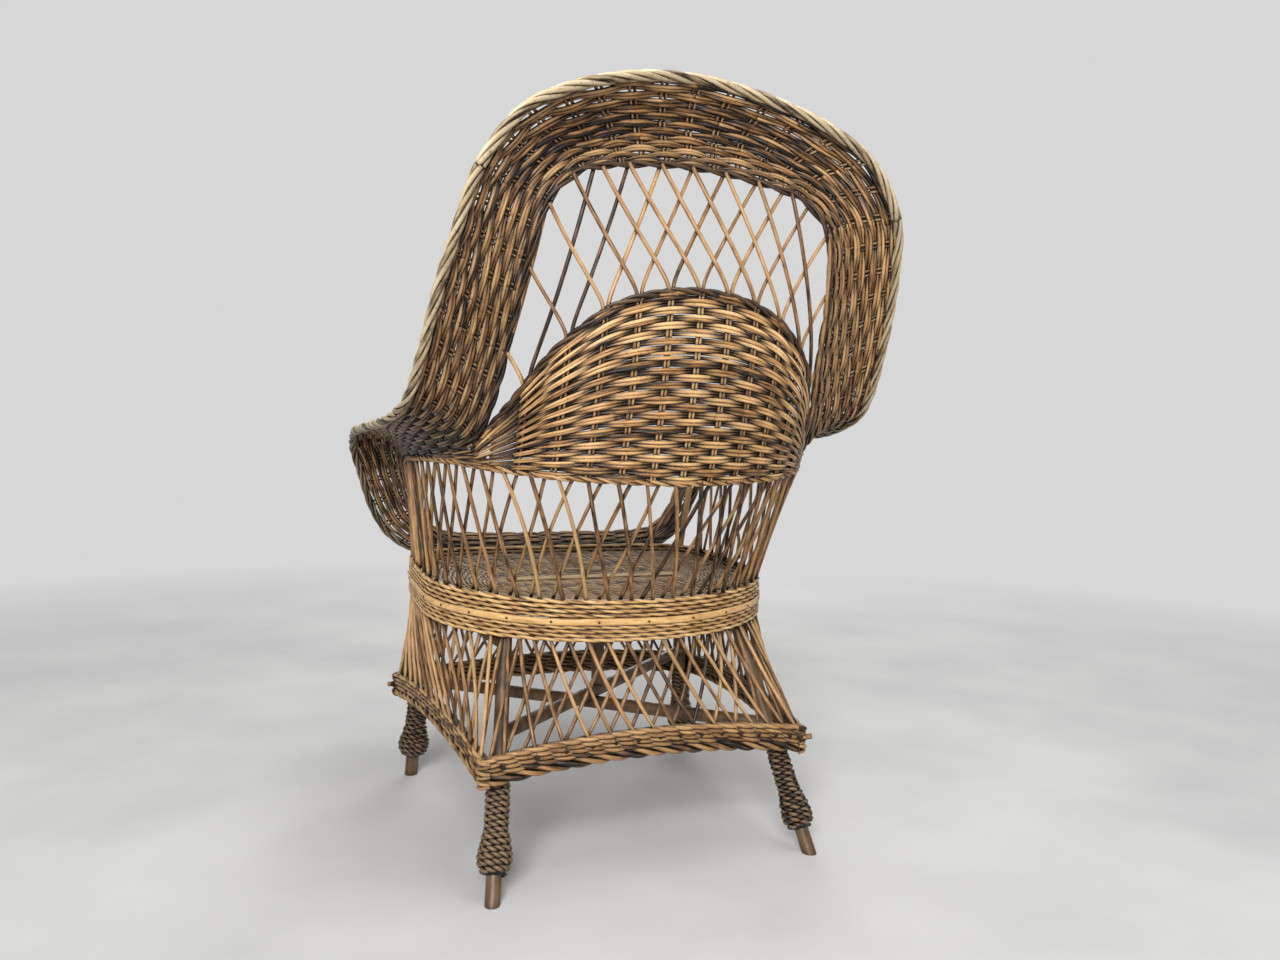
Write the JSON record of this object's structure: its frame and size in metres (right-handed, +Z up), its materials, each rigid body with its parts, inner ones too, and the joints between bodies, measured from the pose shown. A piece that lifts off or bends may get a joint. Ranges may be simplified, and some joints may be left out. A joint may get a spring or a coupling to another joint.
{
  "type": "wicker armchair",
  "caption": "Winged wicker armchair with a flared hood collar, woven back panel, open lattice, nailed waist band and rope-wrapped feet.",
  "frame": {"origin": "centre of the box at floor level", "axes": "+Z up, the chair faces -Y, the sitter's left is +X"},
  "size_m": [0.7834, 0.7808, 1.1059],
  "materials": {
    "stick_dark": "worn round sticks, dark brown",
    "rope_dark": "twisted rush or willow rope, dark brown",
    "rail_wood": "round rails, brown",
    "weave_seat": "woven willow seat, grey brown",
    "weave_band": "woven willow band, light golden",
    "hoop_wood": "flat split hoop, light golden",
    "nail_iron": "rusted iron nail heads",
    "lattice_rod": "peeled willow rods, tan brown",
    "weave_back": "woven willow panel, golden brown",
    "weave_collar": "woven willow collar, mid brown",
    "weave_border": "braided willow border",
    "edge_rod": "edge rods, dark brown"
  },
  "bodies": {
    "root": {"arm_front_left": "weave_collar", "arm_front_right": "weave_collar", "arm_left": "weave_collar", "arm_right": "weave_collar", "arm_ring": "edge_rod", "back_panel": "weave_back", "back_top_rod": "edge_rod", "border_arm_front_left": "weave_border", "border_arm_front_right": "weave_border", "border_arm_left": "weave_border", "border_arm_right": "weave_border", "border_hood": "weave_border", "border_lip": "weave_border", "border_wing_left": "weave_border", "border_wing_right": "weave_border", "centre_post": "stick_dark", "front_post_left": "lattice_rod", "front_post_right": "lattice_rod", "hood": "weave_collar", "leg_front_left": "stick_dark", "leg_front_right": "stick_dark", "leg_rear_left": "stick_dark", "leg_rear_right": "stick_dark", "leg_wrap_front_left": "rope_dark", "leg_wrap_front_right": "rope_dark", "leg_wrap_rear_left": "rope_dark", "leg_wrap_rear_right": "rope_dark", "seat_lip": "weave_collar", "seat_panel": "weave_seat", "seat_rail_front": "rail_wood", "seat_rail_left": "rail_wood", "seat_rail_rear": "rail_wood", "seat_rail_right": "rail_wood", "side_lattice_inner_left": "lattice_rod", "side_lattice_inner_rear": "lattice_rod", "side_lattice_inner_right": "lattice_rod", "side_lattice_outer_left": "lattice_rod", "side_lattice_outer_rear": "lattice_rod", "side_lattice_outer_right": "lattice_rod", "skirt_braid_front": "weave_border", "skirt_braid_left": "weave_border", "skirt_braid_rear": "weave_border", "skirt_braid_right": "weave_border", "skirt_lattice_front": "lattice_rod", "skirt_lattice_left": "lattice_rod", "skirt_lattice_rear": "lattice_rod", "skirt_lattice_right": "lattice_rod", "stretcher_lower": "stick_dark", "stretcher_upper": "stick_dark", "throat_rod": "edge_rod", "upper_lattice_inner": "lattice_rod", "upper_lattice_outer": "lattice_rod", "waist_hoop": "hoop_wood", "waist_lower_wale": "weave_band", "waist_nails": "nail_iron", "waist_upper_wale": "weave_band", "wing_left": "weave_collar", "wing_right": "weave_collar"}
  },
  "joints": []
}
